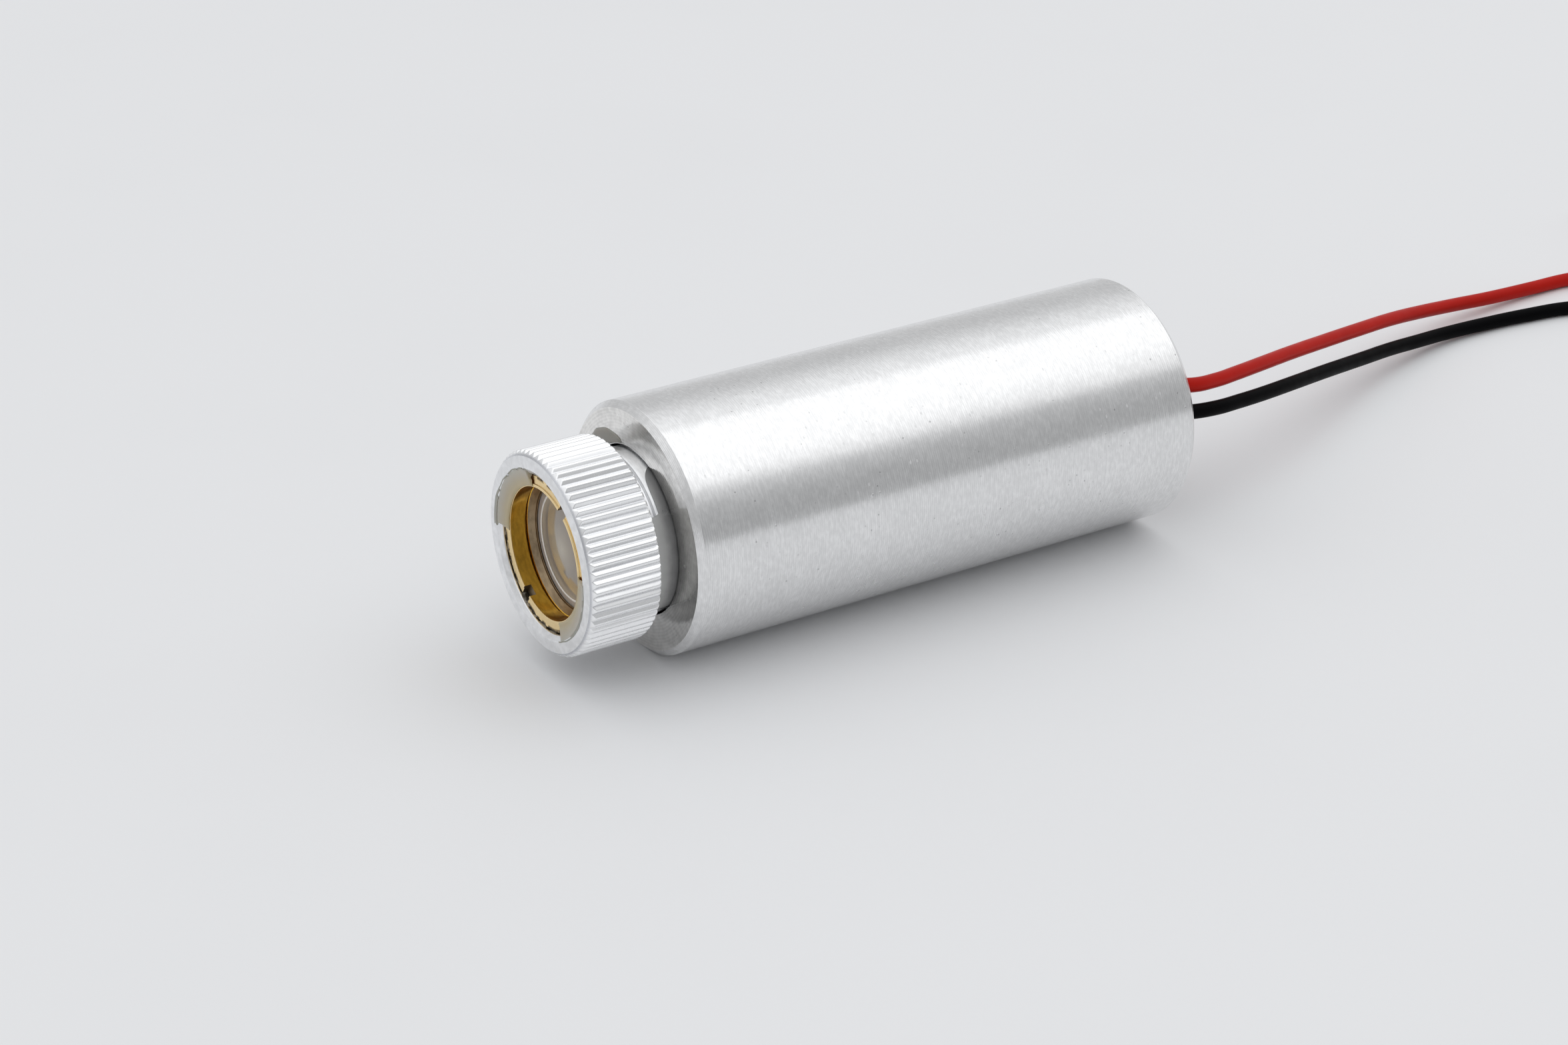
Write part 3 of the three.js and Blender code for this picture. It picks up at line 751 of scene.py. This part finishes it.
def thread_wave(y, angle):
    """0 at the thread's crests and 1 at its roots, with small flats on both."""
    phase = (y / THREAD_PITCH - angle / (2 * math.pi)) % 1
    return min(1.0, max(0.0, 1.25 * abs(2 * phase - 1) - 0.12))


def knob_shape(r, y, angle):
    if y < RING_BACK + 0.02 and r > KNURL_FROM_R:
        wear = 0.012 * noise.noise(Vector((9 * math.cos(angle), 0.8 * y, 9 * math.sin(angle))))
        return min(r, RING_R - knob_depth[angle] + wear), y, angle
    if r == COLLAR_R and y > 0.1:
        return r - THREAD_DEPTH * thread_wave(y, angle), y, angle
    return r, y, angle


knob_rows = [
    (5.36, RING_FRONT), (5.42, RING_FRONT), (5.8, RING_FRONT + 0.02), (6.08, RING_FRONT + 0.035),
]
for share in (0.0, 0.02, 0.15, 0.3, 0.45, 0.6, 0.75, 0.9, 1.0):
    knob_rows.append((TIP_R + (RING_R - TIP_R) * share, RING_FRONT + 0.04 + 0.33 * share))
for y in (-6.14, -5.6, -5.0, -4.2, -3.4, -2.7, -2.1):
    knob_rows.append((RING_R, y))
knob_rows += [
    (RING_R, RING_BACK - 0.16), (RING_R - 0.03, RING_BACK - 0.06), (RING_R - 0.09, RING_BACK - 0.01),
    (6.2, RING_BACK), (5.75, RING_BACK), (5.5, RING_BACK),
]
for turn in (0, 18, 36, 54, 72, 90):
    a = math.radians(turn)
    knob_rows.append((
        UNDERCUT_R + UNDERCUT_FILLET * (1 - math.sin(a)), RING_BACK + UNDERCUT_FILLET * (1 - math.cos(a)),
    ))
knob_rows += [
    (UNDERCUT_R, COLLAR_START - 0.1), (UNDERCUT_R + 0.03, COLLAR_START),
    (COLLAR_R - 0.06, COLLAR_START + 0.03), (COLLAR_R - 0.01, COLLAR_START + 0.09),
    (COLLAR_R, COLLAR_START + 0.13), (COLLAR_R, -0.4),
]
knob_rows += thread_rows(COLLAR_R, 0.1, 1.1)
knob_rows += [
    (STEM_R, 1.15), (STEM_R, STEM_END - 0.4), (STEM_R - 0.1, STEM_END - 0.05), (STEM_R - 0.15, STEM_END),
    (STEM_BORE_R + 0.1, STEM_END), (STEM_BORE_R, STEM_END - 0.1), (STEM_BORE_R, CELL_BORE_END + 0.1),
    (STEM_BORE_R + 0.05, CELL_BORE_END), (STEM_BORE_R + 0.15, CELL_BORE_END),
    (CELL_BORE_R - 0.1, CELL_BORE_END), (CELL_BORE_R - 0.01, CELL_BORE_END - 0.05),
    (CELL_BORE_R - 0.01, -5.0), (POCKET_R, -5.08), (POCKET_R, -6.22), (POCKET_R, POCKET_BEVEL + 0.01),
    (POCKET_R + 0.02, POCKET_BEVEL - 0.01), (5.28, RING_FRONT + 0.07), (5.33, RING_FRONT + 0.02),
]
points, faces = wrapped(knob_rows, knob_angles, knob_shape)
knob = piece(
    "focus_knob", points, faces, "knurled_aluminium", body="focus", stands_for=["focus_ring"],
)
finish_faces(knob, KNURL_METAL, lambda r, y, angle: RING_FRONT < y < RING_BACK and r > 6.1)
# Painted shade on the pocket wall in the thread gap.
finish_faces(knob, THREAD_GAP_SHADE, lambda r, y, angle: -6.2 < y < -5.5 and abs(r - POCKET_R) < 0.015)


# ---- Lens retaining ring with its two spanner slots ----

ring_rows = soften([
    (RETAINER_BORE_R, RETAINER_FRONT, 0.03), (RETAINER_BORE_R + 0.2, RETAINER_FRONT, 0.03),
    (RETAINER_BORE_R + 0.22, RETAINER_FRONT + 0.07, 0.01),
    (RETAINER_R - 0.06, RETAINER_FRONT + 0.07, 0.02),
    (RETAINER_R, RETAINER_FRONT + 0.14, 0.02), (RETAINER_R, RETAINER_END, 0.03),
    (RETAINER_BORE_R + 0.05, RETAINER_END, 0.03), (RETAINER_BORE_R, RETAINER_END - 0.08, 0.02),
])
ring_rows += [(RETAINER_BORE_R, SLOT_FLOOR + 0.04), (RETAINER_BORE_R, SLOT_FLOOR + 0.01)]
half_slot = SLOT_WIDTH / 2

# Across a slot: a column on each side at full height, and five at its floor. Each is where it stands,
# in half widths, and whether it is low.
SLOT_COLUMNS = [(-1, False), (-1, True), (-0.5, True), (0, True), (0.5, True), (1, True), (1, False)]
slot_span = math.degrees(math.asin(half_slot / RETAINER_BORE_R)) + 0.6
ring_angles = []
for degrees in range(360):
    if degrees in SLOT_ANGLES:
        ring_angles += [(math.radians(degrees), column) for column in SLOT_COLUMNS]
    elif all(abs(degrees - middle) > slot_span for middle in SLOT_ANGLES):
        ring_angles.append((math.radians(degrees), None))


def ring_shape(r, y, place):
    angle, column = place
    if column is None:
        return r, y, angle
    side, low = column
    return r, max(y, SLOT_FLOOR) if low else y, angle + side * math.asin(half_slot / r)


points, faces = wrapped(ring_rows, ring_angles, ring_shape)
retainer = piece(
    "brass_lens_ring", points, faces, "brass", body="focus", stands_for=["lens_retaining_ring"],
)


def in_slot(r, y, angle):
    aside = math.radians(min(abs(angle - middle) for middle in SLOT_ANGLES)) * r
    return RETAINER_FRONT + 0.09 < y < SLOT_FLOOR + 0.02 and aside < half_slot + 0.02


finish_faces(retainer, BRASS_FACE, lambda r, y, angle: y < RETAINER_FRONT + 0.09)
# The slots' floors and walls get painted shade.
finish_faces(retainer, BRASS_PAINTED_SHADE, in_slot)


# ---- Lens cell and lens ----

cell = lathe(
    "brass_lens_cell",
    [
        (LENS_R + 0.02, LENS_FRONT - 0.12, 0.03), (CELL_INNER_R, CELL_FRONT + 0.06, 0.03),
        (CELL_INNER_R + 0.06, CELL_FRONT, 0.02), (CELL_R, CELL_FRONT, 0.03), (CELL_R, CELL_BACK),
        (CELL_INNER_R, CELL_BACK), (CELL_INNER_R, LENS_FRONT - 0.05),
        (LENS_R - 0.13, LENS_FRONT - 0.05, 0.02), (LENS_R - 0.15, LENS_FRONT - 0.12, 0.02),
    ],
    "brass", body="focus", stands_for=["lens_cell"],
)
# The cell's bore in front of the lens gets painted shade.
finish_faces(cell, BRASS_PAINTED_SHADE, lambda r, y, angle: r < CELL_INNER_R + 0.01 and y < LENS_FRONT)

DOME_R = 3.4
DOME_RISE = 0.5
DOME_STEPS = 18
lens_rows = []
for step in range(DOME_STEPS + 1):
    r = DOME_R * math.sin(math.pi / 2 * step / DOME_STEPS)
    lens_rows.append((r, LENS_FRONT - 0.04 - DOME_RISE * (1 - (r / DOME_R) ** 2)))
lens_rows += [
    (DOME_R + 0.04, LENS_FRONT - 0.06), (DOME_R + 0.12, LENS_FRONT - 0.055),
    (DOME_R + 0.18, LENS_FRONT - 0.01), (DOME_R + 0.22, LENS_FRONT), (3.95, LENS_FRONT),
    (4.02, LENS_FRONT + 0.02), (LENS_R, LENS_FRONT + 0.06), (LENS_R, LENS_BACK - 0.05),
    (4.0, LENS_BACK), (3.9, LENS_BACK), (2.0, LENS_BACK), (0.0, LENS_BACK),
]
points, faces = wrapped(lens_rows, even_angles(144))
lens = piece("domed_lens", points, faces, "lens", body="focus", stands_for=["collimating_lens"])
finish_faces(lens, LENS_RIM, lambda r, y, angle: DOME_R < r < DOME_R + 0.18 and y < LENS_FRONT + 0.01)
finish_faces(lens, LENS_FLANGE, lambda r, y, angle: r > DOME_R + 0.18 and y < LENS_FRONT + 0.1)


# ---- Glue and sealing compound ----

def film(name, node, surface, along=80, across=16, body="focus"):
    """A thin closed film. surface(share, t, top) is a point (r, y, degrees) of its outer or inner side."""
    points, row, layer_size = [], across + 1, (along + 1) * (across + 1)
    for top in (True, False):
        for i in range(along + 1):
            for j in range(across + 1):
                r, y, degrees = surface(i / along, j / across, top)
                angle = math.radians(degrees)
                points.append((r * math.cos(angle), y, r * math.sin(angle)))
    faces = []
    for i in range(along):
        for j in range(across):
            a = i * row + j
            b = a + layer_size
            faces += [(a, a + 1, a + row + 1, a + row), (b, b + row, b + row + 1, b + 1)]
    rim = [i * row for i in range(along)] + [along * row + j for j in range(across)]
    rim += [i * row + across for i in range(along, 0, -1)] + list(range(across, 0, -1))
    for index, a in enumerate(rim):
        b = rim[(index + 1) % len(rim)]
        faces.append((a, b, b + layer_size, a + layer_size))
    return piece(name, points, faces, "glue", body=body, stands_for=[node])


def plump(share, t, steepness=7.0):
    """How thick a film is near its edges, from almost 0 at the edge to 1 inside."""
    inside = min(t, 1 - t, 4 * share, 4 * (1 - share))
    return math.sqrt(min(1.0, steepness * inside + 0.03))


def waver(share, seed, size=1.0):
    return size * noise.noise(Vector((9 * share + seed, 1.3, seed)))


def ragged_end(share, t, seed, degrees):
    """Bends the two ends of a film in and out."""
    if share in (0.0, 1.0):
        return degrees * noise.noise(Vector((5 * t + seed, 5.1, seed)))
    return 0.0


def dab(name, node, start, end, inner, outer, front, back, seed, body="focus"):
    """Glue over part of a ring, between two angles in degrees and two radii that are functions of share."""
    def surface(share, t, top):
        r0, r1 = inner(share), outer(share) + waver(share, seed, 0.05)
        r = r0 + (r1 - r0) * t
        y = back(r)
        if top:
            y += (front(r) - y) * plump(share, t) + 0.01 * noise.noise(Vector((3 * r, 8 * share, seed)))
        return r, y, start + (end - start) * share + ragged_end(share, t, seed, 2.2)

    film(name, node, surface, along=60, across=14, body=body)


def glue_front(r):
    """The glue lies over the brass ring and rises up the bevel to the knob's face."""
    return RETAINER_FRONT - 0.1 - 0.17 * min(1.0, max(0.0, (r - 4.5) / 0.8))


def glue_back(r):
    if r < RETAINER_R - 0.05:
        return RETAINER_FRONT - 0.01
    return RETAINER_FRONT + 0.05 if r < 5.3 else RING_FRONT - 0.005


def upper_edge(share):
    """The upper dab spills over the bevel onto the knob's face at its left end."""
    return 5.42 + 0.2 * min(1.0, max(0.0, (share - 0.55) / 0.2)) - 0.12 * max(0.0, 1 - share / 0.12)


dab(
    "glue_dab_upper", "retainer_glue_upper", 104, 182, lambda s: 4.22, upper_edge,
    glue_front, glue_back, 2.0,
)
dab(
    "glue_dab_lower", "retainer_glue_lower", -66, 3, lambda s: 4.22, lambda s: 5.4 + 0.12 * math.sin(3 * s),
    glue_front, glue_back, 6.0,
)


SEALANT_START, SEALANT_STEP, SEALANT_END = -44, 33, 70  # angles round the stem, in degrees
SEALANT_R = 5.335  # it stays clear of the tube's bore when the knob goes in


def sealant_surface(share, t, top):
    """From the knob's back over the stem into the gap; past the step it is only a thin film by the gap."""
    angle = SEALANT_START + (SEALANT_END - SEALANT_START) * share
    past = min(1.0, max(0.0, (angle - SEALANT_STEP + waver(t, 5.0, 3.0)) / 2.5))
    tail = max(0.0, (angle - SEALANT_STEP) / (SEALANT_END - SEALANT_STEP))
    low = past * (0.5 + 0.38 * tail ** 6)
    t = low + (1 - low) * t
    y = RING_BACK + 0.04 + (0.26 - RING_BACK) * t
    inner = UNDERCUT_R + 0.02 if y < COLLAR_START - 0.05 else COLLAR_R + 0.01
    if share == 0.0:
        angle += ragged_end(share, t, 3.0, 4)
    if not top:
        return inner, y, angle
    full = 5.32 - 0.058 * past
    bead = math.exp(-(((angle - SEALANT_STEP) / 1.3) ** 2))
    full += 0.05 * bead * max(0.0, math.sin(9 * t + 0.6)) ** 3
    lump = (0.02 - 0.012 * past) * noise.noise(Vector((7 * share, 3 * t, 3.0)))
    r = inner + (full + lump - inner) * plump(share, min(t, 0.5), 5.0)
    return min(r, SEALANT_R), y, angle


sealant = film("stem_sealant_film", "stem_sealant", sealant_surface, along=150, across=28)
sealant.data.materials[0] = SEALANT


def smear_edge(share):
    """How far out the smear on the tube's face reaches, from its low tip to behind the knob."""
    return 5.55 + 1.3 * min(1.0, share * 2.2) ** 0.7 * (1 - 0.25 * share)


dab(
    "face_smear", "face_sealant", 104, 162, lambda s: 5.42, smear_edge,
    lambda r: -0.09, lambda r: -0.003, 9.0, body="housing",
)


# ---- Rear seal: cast compound that creeps up the bore and the leads ----

EXITS = [(1.0, 8.75 - AXIS_Z), (1.6, 7.0 - AXIS_Z)]


def seal_shape(r, y, angle):
    if y < SEAL_Y - 0.6:
        return r, y, angle
    x, z = r * math.cos(angle), r * math.sin(angle)
    rise = 0.16 * math.exp(-(REAR_BORE_R - r) / 0.22)
    for ex, ez in EXITS:
        rise += 0.3 * math.exp(-max(0.0, math.hypot(x - ex, z - ez) - LEAD_D / 2) / 0.16)
    rise += 0.05 * noise.noise(Vector((x * 0.35, z * 0.35, 2.0)))
    rise += 0.012 * noise.noise(Vector((x, z, 7.0)) * 1.7)
    return r, y + rise, angle


SEAL_RINGS = 60
seal_rows = [
    (0.0, SEAL_FRONT), (3.0, SEAL_FRONT), (SEAL_R - 0.08, SEAL_FRONT), (SEAL_R, SEAL_FRONT + 0.1),
    (SEAL_R, SEAL_Y - 0.7),
]
for step in range(SEAL_RINGS, -1, -1):
    seal_rows.append((SEAL_R * (step / SEAL_RINGS) ** 0.85, SEAL_Y - 0.06))
points, faces = wrapped(seal_rows, even_angles(160), seal_shape)
piece("seal_pour", points, faces, "epoxy", stands_for=["rear_seal"])


# ---- Focus spring ----

def spring():
    turns, wire, mean_r, start, end = 4.0, 0.25, 4.6, 7.72, 11.88
    steps, sides = 240, 14
    points = []
    for step in range(steps + 1):
        t = step / steps
        angle = 2 * math.pi * turns * t
        # The end turns lie flat
        rise = min(1.0, max(0.0, (t - 0.12) / 0.76))
        y = start + wire + (end - start - 2 * wire) * rise
        for index in range(sides):
            a = 2 * math.pi * index / sides
            r = mean_r + wire * math.cos(a)
            points.append((r * math.cos(angle), y + wire * math.sin(a), r * math.sin(angle)))
    made = piece(
        "focus_spring", points, rod_faces(steps, sides), "spring_steel",
        stands_for=["anti_backlash_spring"],
    )
    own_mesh(made)


spring()


# ---- Floor, backdrop light and lamps ----

floor_mesh = bpy.data.meshes.new("floor")
far = 6.0
corners = [(-far, -far, 0), (far, -far, 0), (far, far, 0), (-far, far, 0)]
floor_mesh.from_pydata(corners, [], [(0, 1, 2, 3)])
floor = bpy.data.objects.new("floor", floor_mesh)
bpy.context.scene.collection.objects.link(floor)
PAPER = (0.845, 0.848, 0.856)
paper = Surface("floor_paper", PAPER, Roughness=0.6, Specular_IOR_Level=0.25)
paper.shades(paper.noise(30e-3, 3), tinted(PAPER, 0.98), PAPER, tinted(PAPER, 1.006))
paper.bump((paper.noise(0.4e-3, 3), 6e-6))
floor_mesh.materials.append(paper.material)

world = bpy.data.worlds.new("studio")
bpy.context.scene.world = world
world.use_nodes = True
tree = world.node_tree
backdrop = tree.nodes["Background"]
direction = add_node(tree, "ShaderNodeTexCoord").outputs["Generated"]
height = add_node(tree, "ShaderNodeSeparateXYZ", {0: direction}).outputs["Z"]
levels = add_node(tree, "ShaderNodeValToRGB", {"Fac": height})
# How bright the studio is from the horizon, at 0, to straight above, at 1.
LEVELS = [
    (0.0, 0.50), (0.33, 0.50), (0.49, 0.58), (0.63, 0.77), (0.745, 0.96), (0.85, 1.02), (1.0, 1.05),
]
fill_ramp(levels, [(place, (0.99 * value, value, 1.015 * value)) for place, value in LEVELS])


def combine(operation, a, b, kind="ShaderNodeMath"):
    return add_node(tree, kind, {0: a, 1: b}, operation=operation).outputs


# The studio is brighter behind the object on the left, most of all near the horizon, and it has a
# faint fill from the front.
BRIGHT_SIDE = (-0.87, 0.5, 0.0)
BRIGHT_SIDE_LIFT = 0.16
FRONT_FILL = (0.0, -0.15, 0.0)
side = combine("DOT_PRODUCT", direction, BRIGHT_SIDE, "ShaderNodeVectorMath")["Value"]
low = combine("SUBTRACT", 1.0, height)[0]
lift = combine("MULTIPLY", combine("MULTIPLY", side, low)[0], BRIGHT_SIDE_LIFT)[0]
front = combine("DOT_PRODUCT", direction, FRONT_FILL, "ShaderNodeVectorMath")["Value"]
lift = combine("ADD", lift, combine("MAXIMUM", front, 0.0)[0])[0]
total = combine("ADD", levels.outputs["Color"], lift, "ShaderNodeVectorMath")[0]
tree.links.new(total, backdrop.inputs["Color"])
backdrop.inputs["Strength"].default_value = 1.0


def softbox(name, azimuth, elevation, distance, width, power):
    """A square soft lamp that faces the object, from a direction measured anticlockwise from +X."""
    lamp = bpy.data.lights.new(name, "AREA")
    lamp.shape = "SQUARE"
    lamp.size = width
    lamp.energy = power
    holder = bpy.data.objects.new(name, lamp)
    bpy.context.scene.collection.objects.link(holder)
    a, e = math.radians(azimuth), math.radians(elevation)
    away = Vector((math.cos(a) * math.cos(e), math.sin(a) * math.cos(e), math.sin(e)))
    holder.location = away * distance
    holder.rotation_mode = "QUATERNION"
    holder.rotation_quaternion = away.to_track_quat("Z", "Y")


softbox("key", azimuth=70, elevation=60, distance=0.7, width=0.65, power=0.37)

bpy.context.scene.view_settings.view_transform = "Standard"
